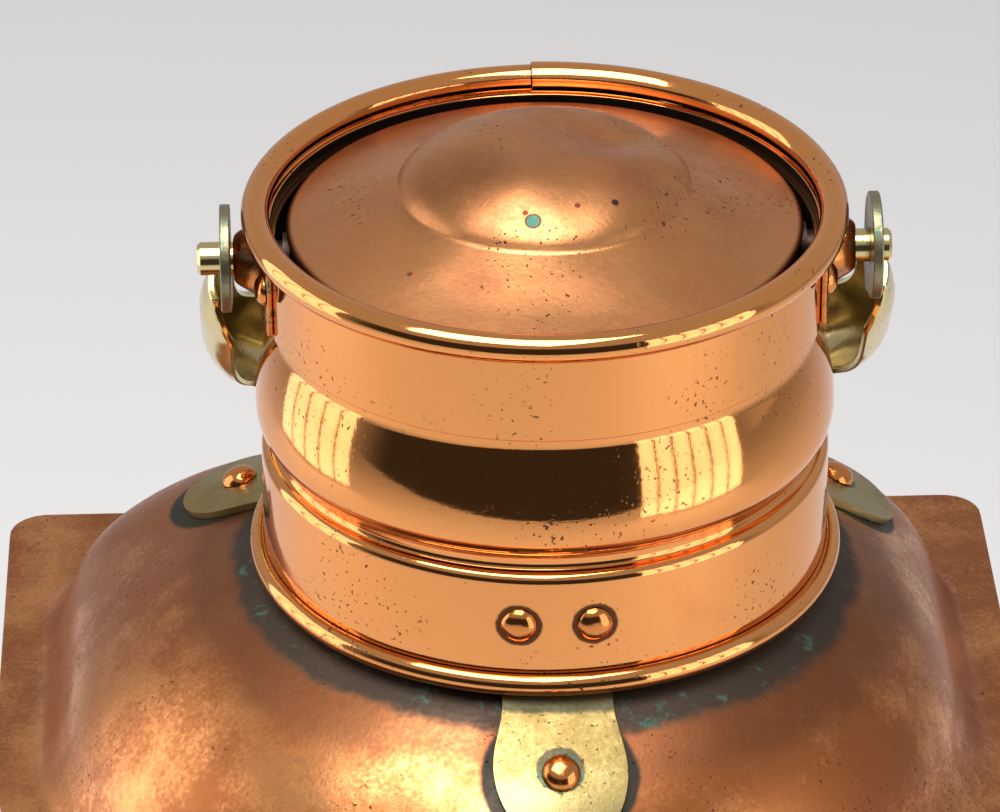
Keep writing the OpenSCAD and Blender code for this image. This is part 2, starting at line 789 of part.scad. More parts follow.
// Curved copper plate around one pivot, with a raised boss
module trunnion(side) {
    plate_in = rim_band_r + fit;
    color(copper) on_chimney() difference() {
        union() {
            intersection() {
                translate([0, 0, rim_band_z + 0.6])
                    tube(plate_in + trunnion_t, plate_in, trunnion_top - rim_band_z - 0.6);
                translate([side > 0 ? 0 : -80, -trunnion_w / 2, 0]) cube([80, trunnion_w, 100]);
            }
            intersection() {
                translate([0, 0, pivot_h]) rotate([0, side * 90, 0])
                    cylinder(r1 = boss_r + 1, r2 = boss_r - 2.5, h = boss_x);
                translate([side > 0 ? 50 : -80, -20, 40]) cube([30, 40, 60]);
                translate([0, 0, 40]) tube(80, plate_in, 36.2);
            }
        }
        trunnion_rivet_holes();
        translate([0, 0, pivot_h]) rotate([0, side * 90, 0]) cylinder(r = pin_r + fit / 2, h = 80);
    }
}

module trunnion_rivet_holes() {
    for (a = trunnion_rivet_angles) rotate(a) translate([40, 0, trunnion_rivet_z])
        rotate([0, 90, 0]) cylinder(r = trunnion_rivet_shank + fit / 2, h = 40, $fn = 32);
}

module trunnion_rivets() {
    color(copper) on_chimney() for (a = trunnion_rivet_angles) rotate(a)
        translate([rim_band_r + fit + trunnion_t + 0.15, 0, trunnion_rivet_z]) rotate([0, 90, 0])
            rivet(3.6, 1.8, trunnion_rivet_shank, 3.5);
}

// Brass pin through the chimney wall, with a flange inside
module pivot_pin(side) {
    color(brass) on_chimney() translate([0, 0, pivot_h]) rotate([0, side * 90, 0]) {
        translate([0, 0, 58]) cylinder(r = pin_r, h = pin_end - 58);
        translate([0, 0, 56.5]) cylinder(r = pin_r + 2, h = 1.5);
    }
}

// ---------- bail ----------

ear_r = 12;
ear_t = 2.3;
ear_x = 72;             // middle of an ear's thickness, from the middle of the bail
bail_shift = 1.3;       // of the bail to the right of the chimney's axis
grip_t = 1.8;
grip_curve = 12.5;
grip_start = 18;        // below the pivots
grip_out = 4.6;         // of the grip's outside past the ears' middle
neck_w = 10;

// Frame of the bail: origin on the pivots, legs along -Z, lying back at its resting angle
module bail_frame() {
    on_chimney() translate([bail_shift, 0, pivot_h]) rotate([bail_rest, 0, 0]) children();
}

// Curved section of the grip, outside then inside: x is outwards from the line of the ears and
// y along its width. share is the part of the full width that is there.
grip_half = 65;         // half of the section's arc
grip_steps = [for (k = [-4:4]) k / 4];

function grip_points(share) = concat(
    [for (k = grip_steps) let (a = k * grip_half * share)
        [grip_out - grip_curve * (1 - cos(a)), grip_curve * sin(a)]],
    [for (k = grip_steps) let (a = -k * grip_half * share)
        [grip_out - grip_curve + (grip_curve - grip_t) * cos(a), (grip_curve - grip_t) * sin(a)]]);

function leg_ring(side, z, share) = [for (p = grip_points(share)) [side * (ear_x + p[0]), p[1], z]];

// Ring of the bow at an angle from the left leg, in the plane that is bent back from the legs
function bow_ring(turn) =
    let (down = [0, sin(bow_bend), -cos(bow_bend)],
        out = [-cos(turn), 0, 0] + sin(turn) * down,
        across = [0, cos(bow_bend), sin(bow_bend)])
    [for (p = grip_points(1)) [0, 0, -leg_len] + (ear_x + p[0]) * out + p[1] * across];

leg_stations = [[-grip_start, 0.5], [-grip_start - 4, 0.8], [-grip_start - 9, 1]];

module grip() {
    last = len(leg_stations) - 1;
    rings = concat(
        [for (q = leg_stations) leg_ring(-1, q[0], q[1])],
        [for (turn = [6:12:174]) bow_ring(turn)],
        [for (k = [last:-1:0]) leg_ring(1, leg_stations[k][0], leg_stations[k][1])]);
    m = len(rings[0]);
    end = (len(rings) - 1) * m;
    wall = [for (i = [0:len(rings) - 2], j = [0:m - 1])
        let (a = i * m + j, b = i * m + (j + 1) % m)
        each [[a, a + m, b], [b, a + m, b + m]]];
    half = m / 2;
    caps = [for (j = [0:half - 2]) each [
        [j, j + 1, m - 1 - j], [j + 1, m - 2 - j, m - 1 - j],
        [end + j, end + m - 1 - j, end + j + 1], [end + j + 1, end + m - 1 - j, end + m - 2 - j]]];
    polyhedron([for (ring = rings) each ring], concat(wall, caps));
}

// Flat ear and its neck, for the right-hand leg
module bail_ear() {
    in = -ear_t / 2;
    translate([ear_x + in, 0, 0]) rotate([0, 90, 0]) cylinder(r = ear_r, h = ear_t);
    translate([ear_x, 0, 0]) rotate([90, 0, 0]) linear_extrude(neck_w, center = true)
        polygon([[in, -ear_r + 3], [-in, -ear_r + 3], [-in, -ear_r - 1], [grip_out - 0.4, -grip_start - 1],
            [grip_out - 0.4, -grip_start - 4], [grip_out - grip_t - 0.6, -grip_start - 4], [in, -ear_r - 3]]);
}

module bail() {
    color(brass) bail_frame() difference() {
        union() {
            grip();
            for (side = [0, 1]) mirror([side, 0, 0]) bail_ear();
        }
        translate([-100, 0, 0]) rotate([0, 90, 0]) cylinder(r = pin_r + 0.05, h = 200);
    }
}

base_floor();
base_pan();
base_bead();
lens_seat();
lens();
lens_post(-1);  // lens_post_left
lens_post(1);  // lens_post_right
upper_gallery();
upper_band();
back_shell();
guard(lens_z + 38);  // guard_lower
guard(lens_z + lens_h - 38);  // guard_upper
reflector();
mount_socket();
socket_rivets();
hinge_leaf_lower();
hinge_pin();
staple();
font_clips();
font_tank();
burner_collar();
burner_cone();
wick_tube();
wick();
winder_shaft();
winder_knob();
filler_neck();
filler_cap();
roof_dome();
roof_skirt();
hinge_leaf_upper();
chimney_foot_bead();
chimney_tube();
rim_band();
rim_wire();
smoke_cap();
cap_struts();
inner_flue();
flue_struts();
bracket(bracket_angles[0]);  // bracket_front
bracket(bracket_angles[1]);  // bracket_right
bracket(bracket_angles[2]);  // bracket_left
bracket_rivets();
band_rivets();
trunnion(-1);  // trunnion_left
trunnion(1);  // trunnion_right
trunnion_rivets();
pivot_pin(-1);  // pivot_pin_left
pivot_pin(1);  // pivot_pin_right
bail();
hook_lug();
roof_hook();
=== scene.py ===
"""Looks of the ship lantern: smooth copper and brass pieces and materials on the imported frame.

Lengths are in metres in the frame's own axes: +Z up, the lens faces -Y.
"""
import math

import bmesh
import bpy
from mathutils import Matrix, Vector, noise


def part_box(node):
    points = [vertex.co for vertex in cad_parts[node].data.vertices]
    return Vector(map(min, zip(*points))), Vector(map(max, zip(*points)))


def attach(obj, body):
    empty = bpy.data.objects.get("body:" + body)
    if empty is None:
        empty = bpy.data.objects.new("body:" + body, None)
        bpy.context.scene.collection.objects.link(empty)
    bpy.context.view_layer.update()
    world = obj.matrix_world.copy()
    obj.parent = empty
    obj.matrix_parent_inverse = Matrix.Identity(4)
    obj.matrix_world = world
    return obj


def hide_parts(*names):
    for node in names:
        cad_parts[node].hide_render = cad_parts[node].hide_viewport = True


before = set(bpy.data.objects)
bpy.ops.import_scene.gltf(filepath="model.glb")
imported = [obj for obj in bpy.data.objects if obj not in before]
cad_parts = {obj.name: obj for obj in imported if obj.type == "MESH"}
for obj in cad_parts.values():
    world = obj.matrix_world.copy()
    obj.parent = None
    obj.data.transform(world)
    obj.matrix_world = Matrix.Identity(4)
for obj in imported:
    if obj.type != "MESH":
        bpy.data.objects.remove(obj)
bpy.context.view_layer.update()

MM = 0.001


# ---------------------------------------------------------------------------
# Driving sizes, from the frame
# ---------------------------------------------------------------------------

def node_box(name):
    """Lowest and highest corner of a CAD node, in millimetres."""
    low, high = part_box(name)
    return Vector(low) / MM, Vector(high) / MM


band_low, band_high = node_box("chimney_tube")
roof_low, roof_high = node_box("roof_dome")
lens_low, lens_high = node_box("lens")

chimney_x = (band_low.x + band_high.x) / 2
seat_z = band_low.z + 1      # the tube's lower edge is 1 mm below the seat
flange_r = roof_high.x
flange_back = roof_high.y
flange_corner = 9
sheet = 1.2
flange_z = roof_low.z + sheet
pivot_z = 69
bail_shift = 1.3
bracket_turns = (-90, 30, 150)
bracket_rivet_r = 80         # from the chimney's axis
band_r = 64                  # outside of the chimney's plain band
band_rivet_z = 11
band_rivet_turn = 7.46       # to each side of a bracket's middle


def clamp(value):
    return min(1.0, max(0.0, value))


def ease(share):
    """0 to 1 with a level start and a level end."""
    return 3 * share ** 2 - 2 * share ** 3


def outward(degrees):
    """Level unit vector at a turn about the chimney's axis."""
    turn = math.radians(degrees)
    return Vector((math.cos(turn), math.sin(turn), 0))


def around_chimney(degrees, r, z):
    """Point at a turn and a distance from the chimney's axis, z above its seat."""
    return Vector((chimney_x, 0, seat_z + z)) + outward(degrees) * r


# ---------------------------------------------------------------------------
# Node-tree helper
# ---------------------------------------------------------------------------

class Shader:
    """A material's node tree, with short calls for the nodes that the metals share."""

    def __init__(self, name):
        self.material = bpy.data.materials.new(name)
        self.material.use_nodes = True
        self.nodes = self.material.node_tree.nodes
        self.links = self.material.node_tree.links
        self.surface = self.nodes["Principled BSDF"]
        self.place = self.nodes.new("ShaderNodeTexCoord").outputs["Object"]

    def put(self, socket, value):
        if isinstance(value, bpy.types.NodeSocket):
            self.links.new(value, socket)
        else:
            socket.default_value = value

    def set(self, name, value):
        self.put(self.surface.inputs[name], value)

    def stretched(self, stretch):
        node = self.nodes.new("ShaderNodeMapping")
        self.links.new(self.place, node.inputs["Vector"])
        node.inputs["Scale"].default_value = stretch
        return node.outputs["Vector"]

    def noise(self, scale, detail=3.0, rough=0.55, stretch=None):
        node = self.nodes.new("ShaderNodeTexNoise")
        self.links.new(self.stretched(stretch) if stretch else self.place, node.inputs["Vector"])
        node.inputs["Scale"].default_value = scale
        node.inputs["Detail"].default_value = detail
        node.inputs["Roughness"].default_value = rough
        return node.outputs["Fac"]

    def cells(self, scale):
        node = self.nodes.new("ShaderNodeTexVoronoi")
        self.links.new(self.place, node.inputs["Vector"])
        node.inputs["Scale"].default_value = scale
        return node.outputs["Distance"], node.outputs["Color"]

    def span(self, value, low, high, to_low=0.0, to_high=1.0):
        """value from low to high becomes to_low to to_high, smoothly and clamped."""
        node = self.nodes.new("ShaderNodeMapRange")
        node.interpolation_type = "SMOOTHSTEP"
        self.put(node.inputs["Value"], value)
        node.inputs["From Min"].default_value = low
        node.inputs["From Max"].default_value = high
        node.inputs["To Min"].default_value = to_low
        node.inputs["To Max"].default_value = to_high
        return node.outputs["Result"]

    def math(self, kind, a, b=0.0):
        node = self.nodes.new("ShaderNodeMath")
        node.operation = kind
        self.put(node.inputs[0], a)
        self.put(node.inputs[1], b)
        return node.outputs[0]

    def mix(self, share, a, b):
        node = self.nodes.new("ShaderNodeMix")
        node.data_type = "RGBA"
        self.put(node.inputs["Factor"], share)
        self.put(node.inputs["A"], (*a, 1.0) if isinstance(a, tuple) else a)
        self.put(node.inputs["B"], (*b, 1.0) if isinstance(b, tuple) else b)
        return node.outputs["Result"]

    def near(self, point, inner, outer):
        """1 inside inner of the point and 0 beyond outer, in millimetres."""
        node = self.nodes.new("ShaderNodeVectorMath")
        node.operation = "DISTANCE"
        self.links.new(self.place, node.inputs[0])
        node.inputs[1].default_value = [c * MM for c in point]
        return self.span(node.outputs["Value"], inner * MM, outer * MM, 1.0, 0.0)

    def from_axis(self):
        """Distance from the chimney's axis."""
        node = self.nodes.new("ShaderNodeVectorMath")
        node.operation = "MULTIPLY"
        self.links.new(self.place, node.inputs[0])
        node.inputs[1].default_value = (1, 1, 0)
        gap = self.nodes.new("ShaderNodeVectorMath")
        gap.operation = "DISTANCE"
        self.links.new(node.outputs["Vector"], gap.inputs[0])
        gap.inputs[1].default_value = (chimney_x * MM, 0, 0)
        return gap.outputs["Value"]

    def height(self):
        node = self.nodes.new("ShaderNodeSeparateXYZ")
        self.links.new(self.place, node.inputs[0])
        return node.outputs["Z"]

    def bump(self, height, distance, strength=1.0):
        node = self.nodes.new("ShaderNodeBump")
        self.links.new(height, node.inputs["Height"])
        node.inputs["Distance"].default_value = distance * MM
        node.inputs["Strength"].default_value = strength
        self.links.new(node.outputs["Normal"], self.surface.inputs["Normal"])


# ---------------------------------------------------------------------------
# Materials
# ---------------------------------------------------------------------------

BRIGHT_COPPER = (0.80, 0.335, 0.108)
WARM_COPPER = (0.68, 0.25, 0.07)
BROWN_COPPER = (0.37, 0.125, 0.042)
DARK_COPPER = (0.11, 0.042, 0.018)
SOOT = (0.028, 0.024, 0.02)
VERDIGRIS = (0.09, 0.2, 0.155)
PALE_BRASS = (0.66, 0.54, 0.26)
YELLOW_BRASS = (0.52, 0.36, 0.11)
DARK_BRASS = (0.13, 0.115, 0.065)


def spots(s, scale, size, share):
    """Small round spots in a share of the cells of a pattern."""
    distance, tint = s.cells(scale)
    chosen = s.span(tint, 1 - share, 1 - share + 0.02)
    return s.math("MULTIPLY", s.span(distance, size * 0.6, size, 1.0, 0.0), chosen)


def metal(name, bright, dull, dark, dullness, rough, speckle=0.5, turned=False):
    """Worn metal: dull clouds over a bright base, dark pin-holes, spots and fine scratches.

    dullness is the share of dull metal, and rough the roughness of the bright and the dull metal.
    """
    s = Shader(name)
    clouds = s.noise(24, 6, 0.65)
    grain = s.noise(900, 2, 0.6)
    mixed = s.math("ADD", clouds, s.math("MULTIPLY", s.math("SUBTRACT", grain, 0.5), 0.3 * dullness))
    film = s.span(mixed, 0.74 - 0.45 * dullness, 1.02 - 0.45 * dullness)
    holes = s.math("MULTIPLY", s.span(s.noise(950, 1, 0.5), 0.66, 0.72), s.span(s.noise(34, 2), 0.47, 0.6))
    marks = s.math("MAXIMUM", spots(s, 260, 0.22, 0.07 * speckle), spots(s, 90, 0.1, 0.12 * speckle))
    dirt = s.math("MULTIPLY", s.math("MAXIMUM", holes, marks), speckle)
    colour = s.mix(film, bright, dull)
    colour = s.mix(dirt, colour, dark)
    stretch = (6, 6, 700) if turned else (160, 160, 160)
    lines = s.noise(1.0 if turned else 3.0, 4, 0.7, stretch)
    roughness = s.span(film, 0, 1, rough[0], rough[1])
    roughness = s.math("ADD", roughness, s.math("MULTIPLY", s.math("SUBTRACT", lines, 0.5), 0.12))
    roughness = s.math("ADD", roughness, s.math("MULTIPLY", dirt, 0.3))
    s.set("Metallic", 1.0)
    s.shared = {"colour": colour, "roughness": roughness, "grain": grain, "lines": lines, "dirt": dirt}
    return s


def finish_metal(s, relief=0.02):
    """Connects a metal and gives it relief, a depth in millimetres, once its stains and any painted shade are
    laid.
    """
    s.set("Base Color", s.shared["colour"])
    s.set("Roughness", s.shared["roughness"])
    height = s.math("SUBTRACT", s.math("ADD", s.shared["grain"], s.shared["lines"]), s.shared["dirt"])
    s.bump(height, relief)
    return s.material


def lay_stain_and_painted_shade(s, mask, colour, roughness):
    """Lays a colour over a metal where the mask is 1: real stains, and painted shade where one stands in for
    shade.
    """
    s.shared["colour"] = s.mix(mask, s.shared["colour"], colour)
    s.shared["roughness"] = s.math("ADD", s.shared["roughness"], s.math("MULTIPLY", mask, roughness))


def ragged(s, mask, amount=0.5, scale=120):
    """Breaks the edge of a mask up with noise."""
    wave = s.math("MULTIPLY", s.math("SUBTRACT", s.noise(scale, 4, 0.65), 0.5), amount * 2)
    return s.span(s.math("ADD", mask, wave), 0.35, 0.75)


def polished_copper():
    s = metal("polished_copper", BRIGHT_COPPER, WARM_COPPER, DARK_COPPER, 0.35, (0.07, 0.15), 0.9, True)
    for turn in bracket_turns:
        for side in (-1, 1):
            spot = around_chimney(turn + side * band_rivet_turn, band_r, band_rivet_z)
            lay_stain_and_painted_shade(s, ragged(s, s.near(spot, 4, 6.4), 0.3, 300), DARK_COPPER, 0.15)
    return finish_metal(s, 0.008)


def roof_copper():
    s = metal("roof_copper", (0.76, 0.33, 0.12), BROWN_COPPER, DARK_COPPER, 0.95, (0.22, 0.36), 0.9)
    gap = s.from_axis()
    burnt = ragged(s, s.span(gap, 70 * MM, 96 * MM, 1.0, 0.0), 0.45, 30)
    lay_stain_and_painted_shade(s, s.math("MULTIPLY", burnt, 0.7), (0.2, 0.075, 0.035), 0.08)
    ring = ragged(s, s.span(gap, 66 * MM, 78 * MM, 1.0, 0.0), 0.45, 60)
    lay_stain_and_painted_shade(s, s.math("MULTIPLY", ring, 0.92), (0.06, 0.052, 0.042), 0.22)
    green = s.math("MULTIPLY", ring, s.span(s.noise(170, 5, 0.75), 0.57, 0.7))
    lay_stain_and_painted_shade(s, s.math("MULTIPLY", green, 0.7), VERDIGRIS, 0.1)
    for turn in bracket_turns:
        foot = around_chimney(turn, bracket_rivet_r, -18)
        lay_stain_and_painted_shade(s, ragged(s, s.near(foot, 15, 20), 0.35, 90), (0.05, 0.042, 0.032), 0.2)
    return finish_metal(s, 0.03)


# Corrosion spots on the smoke cap: x, y and height from the chimney's seat, radius, colour
BUMP_SPOTS = (
    (-3.6, -27.3, 91.2, 1.7, VERDIGRIS),
    (-5.2, -25.4, 92.2, 0.6, (0.35, 0.06, 0.02)),
    (6.2, -23.5, 92.9, 0.6, (0.25, 0.04, 0.02)),
    (14.5, -21.5, 92.4, 0.8, (0.05, 0.03, 0.04)),
    (-31.0, -33.0, 83.6, 2.0, (0.16, 0.05, 0.025)),
)


def cap_copper():
    s = metal("cap_copper", (0.62, 0.27, 0.105), (0.42, 0.165, 0.068), DARK_COPPER, 0.8, (0.32, 0.46), 1.0)
    lay_stain_and_painted_shade(s, s.span(s.from_axis(), 55.6 * MM, 57.2 * MM), DARK_COPPER, 0.1)
    # Painted reflection: a mottled dark patch on the bump's left flank stands in for the dark side of the
    # room that the flank mirrors.
    painted_dark_reflection = s.math("MULTIPLY", s.near((chimney_x - 20, -12, seat_z + 92), 3, 19), s.noise(110, 4, 0.7))
    lay_stain_and_painted_shade(s, painted_dark_reflection, (0.16, 0.058, 0.022), 0.0)
    for x, y, z, size, tint in BUMP_SPOTS:
        lay_stain_and_painted_shade(s, s.near((chimney_x + x, y, seat_z + z), size, size * 1.15), DARK_COPPER, 0.1)
        lay_stain_and_painted_shade(s, s.near((chimney_x + x, y, seat_z + z), size * 0.8, size * 0.9), tint, 0.1)
    return finish_metal(s, 0.03)


def soot_metal():
    """Sheet blackened by the lamp."""
    s = metal("soot", (0.05, 0.035, 0.028), SOOT, (0.01, 0.01, 0.01), 0.6, (0.45, 0.7), 0.4)
    return finish_metal(s, 0.05)


def bracket_brass():
    s = metal("bracket_brass", (0.38, 0.3, 0.125), (0.26, 0.185, 0.06), DARK_BRASS, 0.7, (0.3, 0.46), 0.9)
    gap = s.from_axis()
    lay_stain_and_painted_shade(s, ragged(s, s.span(gap, 66 * MM, 71.5 * MM, 1.0, 0.0), 0.35, 160), DARK_BRASS, 0.2)
    for turn in bracket_turns:
        foot = around_chimney(turn, bracket_rivet_r, -16)
        halo = ragged(s, s.near(foot, 4.2, 6.6), 0.45, 260)
        lay_stain_and_painted_shade(s, s.math("MULTIPLY", halo, 0.75), (0.09, 0.085, 0.06), 0.2)
        lay_stain_and_painted_shade(s, s.math("MULTIPLY", halo, s.span(s.noise(420, 3), 0.52, 0.62)), VERDIGRIS, 0.1)
    return finish_metal(s, 0.03)


def bail_brass():
    s = metal("bail_brass", PALE_BRASS, YELLOW_BRASS, DARK_BRASS, 0.4, (0.16, 0.3), 0.5)
    return finish_metal(s, 0.02)


def ear_brass():
    s = metal("ear_brass", (0.3, 0.28, 0.17), DARK_BRASS, (0.05, 0.06, 0.045), 0.7, (0.35, 0.5), 0.6)
    green = s.span(s.noise(300, 4, 0.7), 0.58, 0.7)
    lay_stain_and_painted_shade(s, green, VERDIGRIS, 0.1)
    return finish_metal(s, 0.05)


def trunnion_copper():
    s = metal("trunnion_copper", WARM_COPPER, BROWN_COPPER, SOOT, 0.7, (0.2, 0.36), 0.8)
    green = s.span(s.noise(260, 4, 0.7), 0.53, 0.66)
    lay_stain_and_painted_shade(s, s.math("MULTIPLY", green, 0.85), VERDIGRIS, 0.25)
    return finish_metal(s, 0.05)


def rivet_copper():
    s = metal("rivet_copper", WARM_COPPER, (0.6, 0.25, 0.1), DARK_COPPER, 0.5, (0.16, 0.28), 0.5)
    return finish_metal(s, 0.02)


def plain_brass():
    s = metal("plain_brass", (0.72, 0.55, 0.25), YELLOW_BRASS, DARK_BRASS, 0.5, (0.2, 0.34), 0.6)
    return finish_metal(s, 0.02)


def body_copper():
    s = metal("body_copper", (0.9, 0.45, 0.19), (0.62, 0.27, 0.11), DARK_COPPER, 0.6, (0.2, 0.34), 0.7)
    return finish_metal(s, 0.02)


def tinplate():
    s = metal("tinplate", (0.62, 0.61, 0.58), (0.34, 0.32, 0.29), SOOT, 0.6, (0.24, 0.42), 0.7)
    return finish_metal(s, 0.03)


def lens_glass():
    s = Shader("lens_glass")
    waves = s.noise(60, 2, 0.5)
    s.set("Base Color", (0.93, 0.985, 0.965, 1.0))
    s.set("Transmission Weight", 1.0)
    s.set("IOR", 1.5)
    s.set("Roughness", s.span(s.noise(500, 3), 0.4, 0.8, 0.02, 0.09))
    s.bump(waves, 0.08)
    return s.material


def wick_cotton():
    s = Shader("wick_cotton")
    weave = s.noise(1.0, 1, 0.5, (900, 900, 2600))
    char = s.span(s.height(), 100 * MM, 107 * MM)
    cloth = s.mix(weave, (0.62, 0.56, 0.42), (0.8, 0.76, 0.62))
    s.set("Base Color", s.mix(char, cloth, (0.02, 0.018, 0.015)))
    s.set("Roughness", s.span(weave, 0, 1, 0.8, 0.95))
    s.bump(weave, 0.15)
    return s.material


MATERIALS = {
    "polished": polished_copper(),
    "roof": roof_copper(),
    "cap": cap_copper(),
    "soot": soot_metal(),
    "bracket": bracket_brass(),
    "bail": bail_brass(),
    "ear": ear_brass(),
    "trunnion": trunnion_copper(),
    "rivet": rivet_copper(),
    "brass": plain_brass(),
    "body": body_copper(),
    "tin": tinplate(),
    "glass": lens_glass(),
    "cotton": wick_cotton(),
}


# ---------------------------------------------------------------------------
# Mesh helpers. Points are in millimetres.
# ---------------------------------------------------------------------------

def piece(name, points, faces, material, body, slot, replaces=(), sharp=40, inner=None):
    """Makes one visible piece. inner is (material, test on a face's middle) for a second material."""
    mesh = bpy.data.meshes.new(name)
    mesh.from_pydata([Vector(p) * MM for p in points], [], faces)
    bm = bmesh.new()
    bm.from_mesh(mesh)
    bmesh.ops.remove_doubles(bm, verts=bm.verts, dist=1e-6)
    bmesh.ops.recalc_face_normals(bm, faces=bm.faces)
    bm.to_mesh(mesh)
    bm.free()
    mesh.materials.append(MATERIALS[material])
    if inner:
        mesh.materials.append(MATERIALS[inner[0]])
        for face in mesh.polygons:
            if inner[1](face.center / MM, face.normal):
                face.material_index = 1
    for face in mesh.polygons:
        face.use_smooth = True
    mesh.set_sharp_from_angle(angle=math.radians(sharp))
    made = bpy.data.objects.new(name, mesh)
    bpy.context.scene.collection.objects.link(made)
    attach(made, body)
    if replaces:
        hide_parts(*replaces)
    return made


def ring_faces(rings, size, closed_rings, closed_loop):
    """Quads between rings of size points each. Rings may close on the first, loops on their start."""
    faces = []
    for i in range(rings if closed_rings else rings - 1):
        for j in range(size if closed_loop else size - 1):
            a = i * size + j
            b = i * size + (j + 1) % size
            c = ((i + 1) % rings) * size + (j + 1) % size
            d = ((i + 1) % rings) * size + j
            faces.append((a, b, c, d))
    return faces


def sheet_faces(rows, columns):
    """Faces of a thick sheet: a grid of top points, then the same grid of points underneath."""
    under = rows * columns
    faces = []
    for i in range(rows - 1):
        for j in range(columns - 1):
            q = i * columns + j
            faces.append((q, q + 1, q + columns + 1, q + columns))
            faces.append((under + q, under + q + columns, under + q + columns + 1, under + q + 1))
    border = list(range(columns))
    border += [i * columns + columns - 1 for i in range(1, rows)]
    border += [(rows - 1) * columns + j for j in range(columns - 2, -1, -1)]
    border += [i * columns for i in range(rows - 2, 0, -1)]
    for q, n in zip(border, border[1:] + border[:1]):
        faces.append((q, under + q, under + n, n))
    return faces


def arc(cx, cz, r, start, end, steps):
    """Points of an arc in the radius and height plane, angles in degrees."""
    turns = [math.radians(start + (end - start) * k / steps) for k in range(steps + 1)]
    return [(cx + r * math.cos(t), cz + r * math.sin(t)) for t in turns]


def lathe(name, loop, material, body, slot, steps=288, start=0.0, end=360.0, axis_x=None, shape=None, **kw):
    """Turns a closed loop of (radius, height) about an upright axis. shape(r, z, turn) may move points."""
    axis_x = chimney_x if axis_x is None else axis_x
    whole = abs(end - start) >= 360
    count = steps if whole else steps + 1
    points = []
    for i in range(count):
        turn = math.radians(start + (end - start) * i / steps)
        for r, z in loop:
            if shape:
                r, z = shape(r, z, turn)
            points.append((axis_x + r * math.cos(turn), r * math.sin(turn), z))
    faces = ring_faces(count, len(loop), whole, True)
    if not whole:
        size = len(loop)
        faces.append(tuple(range(size)))
        faces.append(tuple(reversed(range((count - 1) * size, count * size))))
    return piece(name, points, faces, material, body, slot, **kw)


def waver(x, y, z, size, depth):
    """Smooth random height of hand-worked sheet: waves of a size and depth in millimetres."""
    return noise.noise(Vector((x, y, z)) / size) * depth


def bevel(made, width, segments=2, angle=40):
    """Rounds the edges sharper than an angle, by a width in millimetres."""
    modifier = made.modifiers.new("edges", "BEVEL")
    modifier.width = width * MM
    modifier.segments = segments
    modifier.limit_method = "ANGLE"
    modifier.angle_limit = math.radians(angle)
    return made


def upright(point, normal):
    """Matrix that stands a piece made about +Z on a point, along a normal."""
    return Matrix.Translation(Vector(point)) @ Vector(normal).to_track_quat("Z", "Y").to_matrix().to_4x4()


# ---------------------------------------------------------------------------
# Roof
# ---------------------------------------------------------------------------

# The dome's foot is a D inside the flange. It meets the flange in a soft valley.
foot_r = flange_r - 16.5
foot_back = flange_back - 22
foot_corner = 34
hole_r = 59
arch_start = 0.6
arch_end = 0.985      # beyond this share the dome goes straight down to its foot
arch_top = seat_z - 6.1
arch_foot = flange_z + 8


def reach(turn, r, back, corner):
    """Distance from the chimney's axis to a D with its round front about the house's middle."""
    c, s = math.cos(turn), math.sin(turn)
    if s <= 0:
        return -chimney_x * c + math.sqrt(r * r - (chimney_x * s) ** 2)
    side = 1 if c >= 0 else -1
    flat = min((r - side * chimney_x) / max(abs(c), 1e-3), back / max(s, 1e-3))
    cx = side * (r - corner) - chimney_x
    cy = back - corner
    if side * (flat * c - cx) > 0 and flat * s > cy:
        along = cx * c + cy * s
        return along + math.sqrt(max(0.0, corner ** 2 - cx * cx - cy * cy + along * along))
    return flat


def arch(t):
    """Profile of the dome: 1 at its middle and 0 at its foot."""
    return (1 - min(t, 0.9999) ** 2.2) ** (1 / 1.8)


def smooth_max(a, b, blend):
    """The greater of two heights, rounded where they are within blend of each other."""
    share = max(blend - abs(a - b), 0) / blend
    return max(a, b) + share * share * blend / 4


def roof_height(turn, r):
    """Height of the roof's top face at a distance from the chimney's axis."""
    foot = reach(turn, foot_r, foot_back, foot_corner)
    share = (r - hole_r) / (foot - hole_r)
    t = arch_start + (1 - arch_start) * min(share, arch_end)
    dome = arch_foot + (arch_top - arch_foot) * arch(t) / arch(arch_start)
    dome -= max(0.0, share - arch_end) * (foot - hole_r) * 2.2
    return smooth_max(dome, flange_z, 9)


def roof_point(turn, r, lift=0.0):
    x = chimney_x + r * math.cos(turn)
    y = r * math.sin(turn)
    z = roof_height(turn, r)
    if r < reach(turn, foot_r, foot_back, foot_corner) + 6:
        z += waver(x, y, 0, 38, 0.55) + waver(x, y, 9, 14, 0.12)
    return Vector((x, y, z + lift))


def roof_normal(turn, r):
    out = roof_point(turn, r + 0.5) - roof_point(turn, r - 0.5)
    around = roof_point(turn + 0.01, r) - roof_point(turn - 0.01, r)
    return out.cross(around).normalized()


def make_roof():
    turns = [math.radians(k * 0.75) for k in range(480)]
    shares = [k / 64 for k in range(65)]
    points = []
    for turn in turns:
        edge = reach(turn, flange_r, flange_back, flange_corner)
        top = [roof_point(turn, hole_r + (edge - hole_r) * q) for q in shares]
        points += top + [p - Vector((0, 0, sheet)) for p in reversed(top)]
    faces = ring_faces(len(turns), 2 * len(shares), True, True)
    under = ("soot", lambda middle, normal: normal.z < -0.1)
    roof = piece("roof", points, faces, "roof", "roof", "copper", ["roof_dome"], 50, under)
    bevel(roof, 0.45, 2, 50)


# ---------------------------------------------------------------------------
# Chimney
# ---------------------------------------------------------------------------

def looks_inwards(middle, normal):
    """True for a face that looks at the chimney's axis."""
    return (middle.x - chimney_x) * normal.x + middle.y * normal.y < -10


